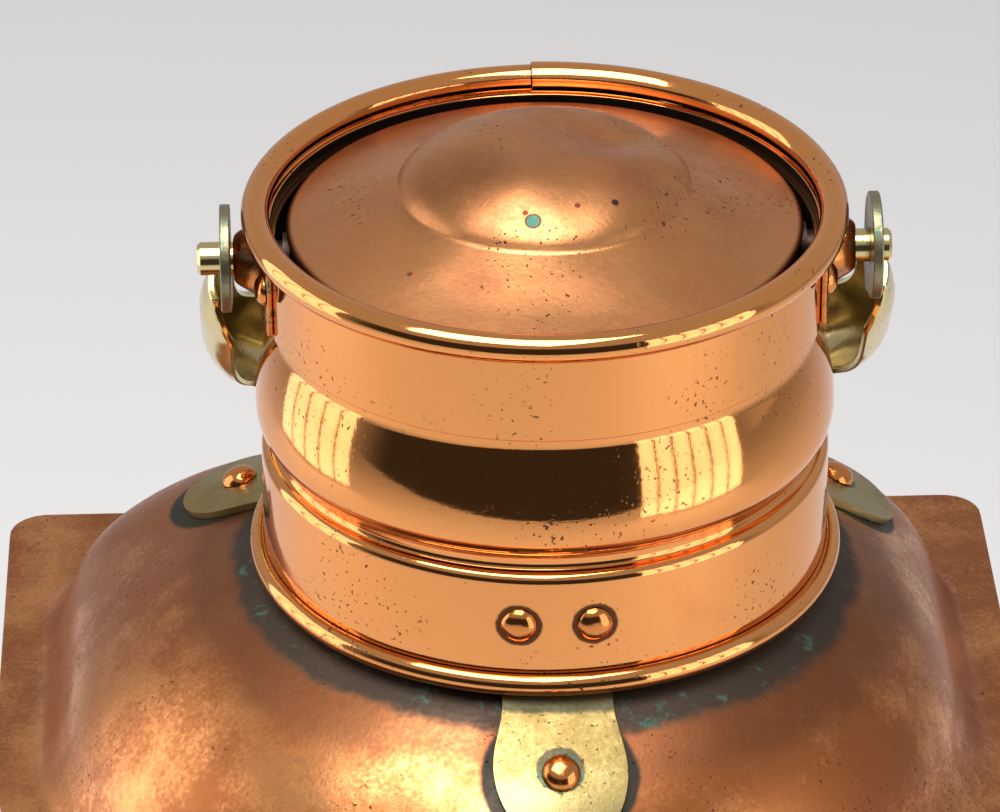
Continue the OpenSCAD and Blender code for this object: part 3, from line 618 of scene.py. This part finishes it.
def make_chimney():
    """Plain band, two grooves and the swell between them, with the foot bead and the rim's side."""
    wall = 0.8
    groove, swell_out = 61.0, 4.2
    foot, middle, top = 27.2, 33.6, 52.0
    outside = [(band_r, -1)]
    outside += arc(61.6, 21.2, 2.4, 0, 70, 10)
    outside += arc(63.2, 25.3, 2.4, 225, 190, 5)
    outside += [(groove - 0.2 + swell_out * math.sin(a), middle - (middle - foot) * math.cos(a))
        for a in [math.radians(d) for d in range(12, 91, 6)]]
    outside += [(groove - 0.2 + swell_out * (1 - s ** 1.8), middle + (top - middle) * s)
        for s in [k / 20 for k in range(1, 21)]]
    outside += [(60.5, 52.8), (60.5, 54), (60.6, 74)]
    inside = [(r - wall, z) for r, z in reversed(outside)]
    loop = [(r, z + seat_z) for r, z in outside + inside]

    def hand_made(r, z, turn):
        x, y = r * math.cos(turn), r * math.sin(turn)
        return r + waver(x, y, z, 30, 0.16), z + waver(x, y, 50, 45, 0.15)

    lathe("chimney", loop, "polished", "roof", "copper", shape=hand_made, replaces=["chimney_tube"],
        inner=("soot", looks_inwards))
    bead = arc(64.5, seat_z - 3.6, 2.7, 68, -240, 40)
    lathe("foot_bead", bead, "polished", "roof", "copper", shape=hand_made, replaces=["chimney_foot_bead"])
    band = [(62, 56), (62, 77.5), (60.7, 77.5), (60.7, 56.1)]
    band = [(r, z + seat_z) for r, z in band]
    rim_side = lathe("rim_side", band, "polished", "roof", "copper", shape=hand_made,
        replaces=["rim_band"], inner=("soot", looks_inwards))
    bevel(rim_side, 0.3)


def make_rim():
    """The wired edge: a rolled ring with an open lap at the back, where one end stands proud."""
    lap = 90.6
    path_r = 64.0
    middle_z = seat_z + 80

    def rolled(r, z, turn):
        x, y = r * math.cos(turn), r * math.sin(turn)
        swell = 1.0 + 0.015 * noise.noise(Vector((x, y, 3)) / 12)
        past = math.degrees(turn) - lap
        end = 1.0 + 0.2 * ease(clamp((past - 250) / 70))
        return path_r + (r - path_r) * swell * end, middle_z + (z - middle_z) * swell * end

    tube = arc(path_r, middle_z, 3.15, -120, 228, 44)
    inner_lip = [(path_r - 2.55, middle_z - 2.75)]
    lathe("rim_roll", tube + inner_lip, "polished", "roof", "copper", steps=340, start=lap, end=lap + 360.7,
        shape=rolled, replaces=["rim_wire"], sharp=45)


def make_cap():
    """The smoke cap: a low cone, rolled down at its edge, that rises to a round bump with a dent in it."""
    edge_r, edge_z = 57.2, seat_z + 77.4
    bump_r, bump_h, bump_z = 32.4, 10.6, seat_z + 86.2

    def top(r):
        rise = (edge_r - r) / (edge_r - bump_r)
        cone = edge_z + (bump_z - edge_z) * min(rise, 1) ** 1.15
        if r >= bump_r:
            return cone
        return bump_z + bump_h * (1 - (r / bump_r) ** 2.6) ** 0.7

    radii = [edge_r * k / 110 for k in range(1, 108)]
    roll = arc(edge_r - 1.4, top(edge_r - 1.4) - 1.4, 1.4, 75, -60, 6)
    outer = [(0.01, top(0.01))] + [(r, top(r)) for r in radii if r < edge_r - 1.4] + roll
    inner = [(max(0.01, r - 0.9 * (r > 55)), z - 0.9) for r, z in reversed(outer)]

    def dented(r, z, turn):
        x, y = r * math.cos(turn), r * math.sin(turn)
        calm = min(1.0, (edge_r - r) / 8)
        push = max(0.0, 1.15 - math.hypot(x - 13.5, (y - 6.5) * 1.15) / 15.5)
        dent = -3.4 * min(1.0, push) ** 1.3
        dent += -1.1 * math.exp(-((x - 24) ** 2 + (y + 9) ** 2) / 30)
        dent += 0.8 * math.exp(-((x + 4) ** 2 + (y + 16) ** 2) / 60)
        return r, z + (dent + waver(x, y, 2, 13, 0.25) + waver(x, y, 5, 36, 0.5)) * calm

    lathe("cap", outer + inner, "cap", "roof", "copper", shape=dented, replaces=["smoke_cap"], sharp=60,
        inner=("soot", lambda c, n: n.z < -0.2))


# ---------------------------------------------------------------------------
# Rivets, brackets and trunnions
# ---------------------------------------------------------------------------

def rivet(name, point, normal, head_r, head_h, material, tail=1.2):
    """A peened dome head: slightly flat on top, with a thin skirt, on a short shank."""
    rows = [(0.0, head_h), (0.35, head_h * 0.97), (0.62, head_h * 0.82), (0.83, head_h * 0.55)]
    rows += [(0.96, head_h * 0.24), (1.0, 0.02), (0.96, -0.12), (0.5, -0.12), (0.5, -tail)]
    steps = 40
    stand = upright(point, normal)
    points = []
    for k in range(steps):
        turn = 2 * math.pi * k / steps
        for share, z in rows:
            x = share * head_r * math.cos(turn)
            y = share * head_r * math.sin(turn)
            wobble = 1 + 0.05 * noise.noise(Vector((x, y, point[0])) / 3)
            points.append(stand @ Vector((x * wobble, y * wobble, z * wobble)))
    faces = ring_faces(steps, len(rows), True, False)
    return piece(name, points, faces, material, "roof", "copper_rivets", (), 60)


def make_band_rivets():
    for turn in bracket_turns:
        for side in (-1, 1):
            degrees = turn + side * band_rivet_turn
            spot = around_chimney(degrees, band_r + 0.1, band_rivet_z)
            rivet(f"band_rivet_{turn % 360}_{side}", spot, outward(degrees), 4.0, 2.0, "rivet")
    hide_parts("band_rivets")


def bracket_width(r):
    """Half width of a bracket's foot at a distance from the chimney's axis."""
    end_r, end_at = 14.5, 78.5
    neck, neck_at = 12, 65
    if r > end_at:
        return math.sqrt(max(0.0, end_r ** 2 - (r - end_at) ** 2))
    return neck + (end_r - neck) * ease(clamp((r - neck_at) / (end_at - neck_at)))


def make_bracket(name, turn):
    """Brass foot that follows the roof, its rivet, and the arm inside the chimney. Returns the rivet."""
    thick = 1.7
    gap = 0.2
    start, end = 62.0, 93.0
    rows, columns = 44, 25
    a = math.radians(turn)
    top, low = [], []
    for i in range(rows):
        r = start + (end - start) * math.sin(i / (rows - 1) * math.pi / 2)
        half = max(bracket_width(r), 0.05)
        for j in range(columns):
            across = half * math.sin((j / (columns - 1) - 0.5) * math.pi)
            spin = a + math.atan2(across, r)
            distance = math.hypot(across, r)
            p = roof_point(spin, distance, gap)
            low.append(p)
            top.append(p + roof_normal(spin, distance) * thick)
    faces = sheet_faces(rows, columns)
    made = piece(name + "_foot", top + low, faces, "bracket", "roof", "brass", [name], 50)
    bevel(made, 0.4, 2, 50)
    spot = roof_point(a, bracket_rivet_r, gap)
    normal = roof_normal(a, bracket_rivet_r)
    head = rivet(name + "_rivet", spot + normal * (thick + 0.1), normal, 4.25, 2.7, "rivet", 1.6)
    arm_in, arm_out = 61.3, 63.0
    arm_low, arm_high = seat_z - 7, seat_z + 21
    section = [(arm_out, arm_low), (arm_out, arm_high), (arm_in, arm_high), (arm_in, arm_low)]
    arm = lathe(name + "_arm", section, "soot", "roof", "brass", steps=12, start=turn - 10, end=turn + 10)
    bevel(arm, 0.3)
    return head


def make_trunnion(name, side):
    """Copper plate wrapped on the rim band, dished out into a boss around the pivot. Returns its rivets."""
    base_r, thick, boss_out = 62.1, 1.2, 69.0
    middle = 0 if side > 0 else 180
    half_turn, low, high = 13.2, 56.8, 76.4
    rows, columns = 40, 60
    top, under_side = [], []
    for i in range(rows):
        z = low + (high - low) * i / (rows - 1)
        for j in range(columns):
            across = -1 + 2 * j / (columns - 1)
            y = math.radians(half_turn) * base_r * across
            gap = math.hypot(y, z - pivot_z)
            boss = (boss_out - base_r - thick) * ease(clamp((9.5 - gap) / 5.0))
            out = outward(middle + math.degrees(y / base_r))
            foot = Vector((chimney_x, 0, seat_z + z)) + out * base_r
            buckle = 0.25 * noise.noise(Vector((y, z, side)) / 6)
            top.append(foot + out * (thick + boss + buckle))
            under_side.append(foot)
    faces = sheet_faces(rows, columns)
    made = piece(name + "_plate", top + under_side, faces, "trunnion", "roof", "copper", [name], 50)
    bevel(made, 0.3, 2, 50)
    heads = []
    for turn in (-9.6, 9.6):
        spot = around_chimney(middle + turn, 63.4, 66.5)
        heads.append(rivet(f"{name}_rivet_{int(turn > 0)}", spot, outward(middle + turn), 3.6, 1.9, "rivet"))
    return heads


def turned_pin(name, side):
    """A brass pivot pin with a chamfered end, along X."""
    rows = [(56.5, 0.0), (56.5, 5.6), (58, 5.6), (58, 3.7), (60.7, 3.7), (76.3, 3.7), (77, 3.0), (77, 0.0)]
    steps = 48
    points = []
    for k in range(steps):
        turn = 2 * math.pi * k / steps
        for x, r in rows:
            points.append((chimney_x + side * x, r * math.cos(turn), seat_z + pivot_z + r * math.sin(turn)))
    faces = ring_faces(steps, len(rows), True, False)
    sooty = ("soot", lambda middle, normal: abs(middle.x - chimney_x) < 60.4)
    piece(name + "_turned", points, faces, "bail", "roof", "brass", [name], 35, sooty)


# ---------------------------------------------------------------------------
# Bail
# ---------------------------------------------------------------------------

rest_turn = math.radians(38)
bow_bend = math.radians(13)
ear_x = 72.0
leg_len = 35.0
grip_out = 6.6
grip_curve = 12.5
grip_thick = 1.8
grip_half = 65      # degrees to each side of the section's middle
ear_r = 12
pin_hole_r = 3.78


def bail_place(p):
    """From the bail's own frame, with its legs straight down, to where it rests."""
    x, y, z = p
    turned_y = y * math.cos(rest_turn) - z * math.sin(rest_turn)
    turned_z = y * math.sin(rest_turn) + z * math.cos(rest_turn)
    return Vector((chimney_x + bail_shift + x, turned_y, seat_z + pivot_z + turned_z))


def grip_ring(share, steps=12):
    """Section of the hollow grip: outside then inside, as (outwards, across)."""
    half = math.radians(grip_half * share)
    turns = [-half + 2 * half * k / steps for k in range(steps + 1)]
    outside = [(grip_out - grip_curve * (1 - math.cos(t)), grip_curve * math.sin(t)) for t in turns]
    inner_r = grip_curve - grip_thick
    inside = [(grip_out - grip_curve + inner_r * math.cos(t), inner_r * math.sin(t)) for t in reversed(turns)]
    return outside + inside


def make_bail():
    """Hollow half-round grip: down one leg, round the bow and up the other leg, and two ears."""
    leg_steps, bow_steps = 16, 72

    def leg(side, depth, share):
        tuck = (1 - share) * 3.4
        return [Vector((side * (ear_x + u - tuck), v, -depth)) for u, v in grip_ring(share)]

    def bow(turn, bend):
        down = Vector((0, math.sin(bend), -math.cos(bend)))
        across = Vector((0, math.cos(bend), math.sin(bend)))
        out = Vector((-math.cos(turn), 0, 0)) + down * math.sin(turn)
        return [Vector((0, 0, -leg_len)) + out * (ear_x + u) + across * v for u, v in grip_ring(1)]

    depths = [13 + 22 * k / leg_steps for k in range(leg_steps)]
    shares = [0.36 + 0.64 * clamp((d - 15.5) / 9) ** 0.6 for d in depths]
    rings = [leg(-1, d, w) for d, w in zip(depths, shares)]
    for k in range(1, bow_steps):
        turn = math.pi * k / bow_steps
        bent = min(1.0, math.sin(turn) * 3)
        rings.append(bow(turn, bow_bend * bent))
    rings += [leg(1, d, w) for d, w in reversed(list(zip(depths, shares)))]
    size = len(rings[0])
    points = [bail_place(p) for ring in rings for p in ring]
    faces = ring_faces(len(rings), size, False, True)
    faces.append(tuple(range(size)))
    faces.append(tuple(reversed(range((len(rings) - 1) * size, len(rings) * size))))
    grip = piece("bail_grip", points, faces, "bail", "bail", "brass", ["bail"], 45)
    bevel(grip, 0.45, 2, 50)
    for side in (-1, 1):
        make_ear(side)


def make_ear(side):
    """Flat round ear with a hole for the pin and a neck that runs down into the grip."""
    thick = 2.3
    steps = 64
    neck_z, neck_half = -14.8, 4.6
    outline, hole = [], []
    for k in range(steps):
        turn = 2 * math.pi * k / steps
        y, z = ear_r * math.sin(turn), ear_r * math.cos(turn)
        if z < -9.2:
            z = neck_z
            y = max(-neck_half, min(neck_half, y * 0.75))
        outline.append((y, z))
        hole.append((pin_hole_r * math.sin(turn), pin_hole_r * math.cos(turn)))
    loops = []
    for x, loop in ((-thick / 2, hole), (-thick / 2, outline), (thick / 2, outline), (thick / 2, hole)):
        loops.append([bail_place((side * ear_x + x, y, z)) for y, z in loop])
    points = [p for loop in loops for p in loop]
    faces = ring_faces(4, steps, True, True)
    ear = piece(f"bail_ear_{'left' if side < 0 else 'right'}", points, faces, "ear", "bail", "brass", (), 40)
    bevel(ear, 0.5, 3, 50)


# ---------------------------------------------------------------------------
# Lens
# ---------------------------------------------------------------------------

def make_lens():
    """Pressed glass lens: a bull's-eye belt with prisms above and below, all slightly rounded."""
    out_r, in_r = lens_high.x, lens_high.x - 8
    low, high = lens_low.z, lens_high.z
    middle = (low + high) / 2
    belt = 17.0
    prism = ((high - low) / 2 - belt) / 4
    upper = [(out_r - 3.6 * (k / 8) ** 2, middle + belt * k / 8) for k in range(9)]
    for k in range(4):
        start = middle + belt + k * prism
        end = start + prism
        upper += [(out_r - 4, start + 0.5), (out_r - 0.9, end - 1.0), (out_r - 0.9, end - 0.1)]
    lower = [(r, 2 * middle - z) for r, z in upper[1:]]
    loop = [(in_r, low)] + list(reversed(lower)) + upper + [(in_r, high)]
    half_turn = 112.5
    glass = lathe("lens_glass", loop, "glass", "house", "glass", steps=220, start=-90 - half_turn,
        end=-90 + half_turn, axis_x=0.0, replaces=["lens"], sharp=28)
    bevel(glass, 0.3, 2, 28)


# ---------------------------------------------------------------------------
# CAD nodes that keep their shape
# ---------------------------------------------------------------------------

KEPT = {
    "body": ["base_floor", "base_pan", "upper_band", "back_shell", "roof_skirt"],
    "brass": [
        "base_bead", "lens_seat", "lens_post_left", "lens_post_right", "upper_gallery",
        "guard_lower", "guard_upper", "mount_socket", "hinge_leaf_lower", "hinge_leaf_upper",
        "hinge_pin", "staple", "hook_lug", "roof_hook", "font_clips", "burner_collar",
        "burner_cone", "wick_tube", "winder_shaft", "winder_knob", "filler_neck", "filler_cap",
    ],
    "rivet": ["socket_rivets"],
    "soot": ["cap_struts", "inner_flue", "flue_struts"],
    "tin": ["reflector", "font_tank"],
    "cotton": ["wick"],
}


def dress_kept_nodes():
    for material, names in KEPT.items():
        for name in names:
            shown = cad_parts[name]
            for slot in shown.material_slots:
                slot.material = MATERIALS[material]


# ---------------------------------------------------------------------------
# Studio
# ---------------------------------------------------------------------------

def make_floor():
    """Pale paper that ends under the camera. The metal mirrors the dark room beyond its front edge."""
    mesh = bpy.data.meshes.new("floor")
    side, front, back = 6.0, -1.15, 6.0
    corners = [(-side, front, 0), (side, front, 0), (side, back, 0), (-side, back, 0)]
    mesh.from_pydata(corners, [], [(0, 1, 2, 3)])
    s = Shader("floor_paper")
    s.set("Base Color", s.mix(s.noise(3, 2), (0.66, 0.645, 0.65), (0.68, 0.665, 0.67)))
    s.set("Roughness", 0.9)
    mesh.materials.append(s.material)
    floor = bpy.data.objects.new("floor", mesh)
    bpy.context.scene.collection.objects.link(floor)


def softbox(name, place, aim, width, height, power):
    light = bpy.data.lights.new(name, "AREA")
    light.shape = "RECTANGLE"
    light.size = width
    light.size_y = height
    light.energy = power
    made = bpy.data.objects.new(name, light)
    made.location = place
    made.rotation_mode = "QUATERNION"
    made.rotation_quaternion = (Vector(aim) - Vector(place)).to_track_quat("-Z", "Y")
    made.visible_camera = False
    bpy.context.scene.collection.objects.link(made)


PALE_ROOM = (0.5, 0.49, 0.488, 1)
DARK_ROOM = (0.045, 0.043, 0.042, 1)


def make_world():
    """A grey room, dark behind the camera and pale everywhere else."""
    world = bpy.data.worlds.new("studio")
    bpy.context.scene.world = world
    world.use_nodes = True
    nodes, links = world.node_tree.nodes, world.node_tree.links
    nodes.clear()

    def span(value, low, high, to_low, to_high):
        node = nodes.new("ShaderNodeMapRange")
        node.interpolation_type = "SMOOTHSTEP"
        links.new(value, node.inputs["Value"])
        for name, number in zip(("From Min", "From Max", "To Min", "To Max"), (low, high, to_low, to_high)):
            node.inputs[name].default_value = number
        return node.outputs["Result"]

    split = nodes.new("ShaderNodeSeparateXYZ")
    links.new(nodes.new("ShaderNodeTexCoord").outputs["Generated"], split.inputs[0])
    front = span(split.outputs["Y"], -0.45, 0.05, 1.0, 0.0)
    low = span(split.outputs["Z"], 0.38, 0.52, 1.0, 0.0)
    shade = nodes.new("ShaderNodeMath")
    shade.operation = "MULTIPLY"
    links.new(front, shade.inputs[0])
    links.new(low, shade.inputs[1])
    pick = nodes.new("ShaderNodeMix")
    pick.data_type = "RGBA"
    links.new(shade.outputs[0], pick.inputs["Factor"])
    pick.inputs["A"].default_value = PALE_ROOM
    pick.inputs["B"].default_value = DARK_ROOM
    back = nodes.new("ShaderNodeBackground")
    links.new(pick.outputs["Result"], back.inputs["Color"])
    out = nodes.new("ShaderNodeOutputWorld")
    links.new(back.outputs["Background"], out.inputs["Surface"])


def window(name, azimuth, distance, width, low, high, panes, radiance):
    """A tall bright window with narrow bars, facing the lantern. Azimuth 0 is in front, in degrees."""
    turn = math.radians(azimuth)
    out = Vector((math.sin(turn), -math.cos(turn), 0))
    along = Vector((math.cos(turn), math.sin(turn), 0))
    middle = Vector((chimney_x * MM, 0, (low + high) / 2)) + out * distance
    height = high - low
    pane = width / panes
    clear = pane * 0.86
    power = radiance * math.pi * clear * height
    for k in range(panes):
        place = middle + along * (k + 0.5 - panes / 2) * pane
        softbox(f"{name}_{k}", place, place - out, clear, height, power)


def make_lights():
    centre = Vector((chimney_x, 0, seat_z)) * MM
    window("window_right", 54, 0.85, 0.66, 0.02, 0.78, 6, 2.2)
    window("window_left", -100, 0.85, 0.66, 0.02, 0.86, 5, 1.9)
    softbox("overhead", centre + Vector((-0.2, -0.3, 1.4)), centre, 1.1, 1.0, 27)


def make_camera():
    """A long lens, 30 degrees above the horizon, slightly to the left of the lantern's front."""
    elevation = math.radians(29.76)
    azimuth = math.radians(-1.85)
    tilt = math.radians(0.34)
    distance = 1.348
    turn = Matrix.Rotation(azimuth, 3, "Z")
    ahead = turn @ Vector((0, math.cos(elevation), -math.sin(elevation)))
    above = turn @ Vector((0, math.sin(elevation), math.cos(elevation)))
    right = turn @ Vector((1, 0, 0))
    aim_right, aim_up = -0.0101, 0.0257
    aim = Vector((chimney_x, 0, seat_z)) * MM + right * aim_right + above * aim_up
    camera = bpy.data.cameras.new("camera")
    camera.sensor_width = 36
    camera.lens = 213.2
    camera.clip_start = 0.05
    made = bpy.data.objects.new("camera", camera)
    bpy.context.scene.collection.objects.link(made)
    up = above * math.cos(tilt) + right * math.sin(tilt)
    side = ahead.cross(up)
    made.matrix_world = Matrix((side, up, -ahead)).transposed().to_4x4()
    made.location = aim - ahead * distance
    bpy.context.scene.camera = made


def main():
    make_camera()
    make_world()
    make_lights()
    make_floor()
    make_roof()
    make_chimney()
    make_rim()
    make_cap()
    make_band_rivets()
    names = ("bracket_front", "bracket_right", "bracket_left")
    heads = [make_bracket(name, turn) for name, turn in zip(names, bracket_turns)]
    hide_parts("bracket_rivets")
    plate_heads = make_trunnion("trunnion_left", -1) + make_trunnion("trunnion_right", 1)
    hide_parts("trunnion_rivets")
    turned_pin("pivot_pin_left", -1)
    turned_pin("pivot_pin_right", 1)
    make_bail()
    make_lens()
    dress_kept_nodes()
    scene = bpy.context.scene
    scene.view_settings.view_transform = "Standard"


main()
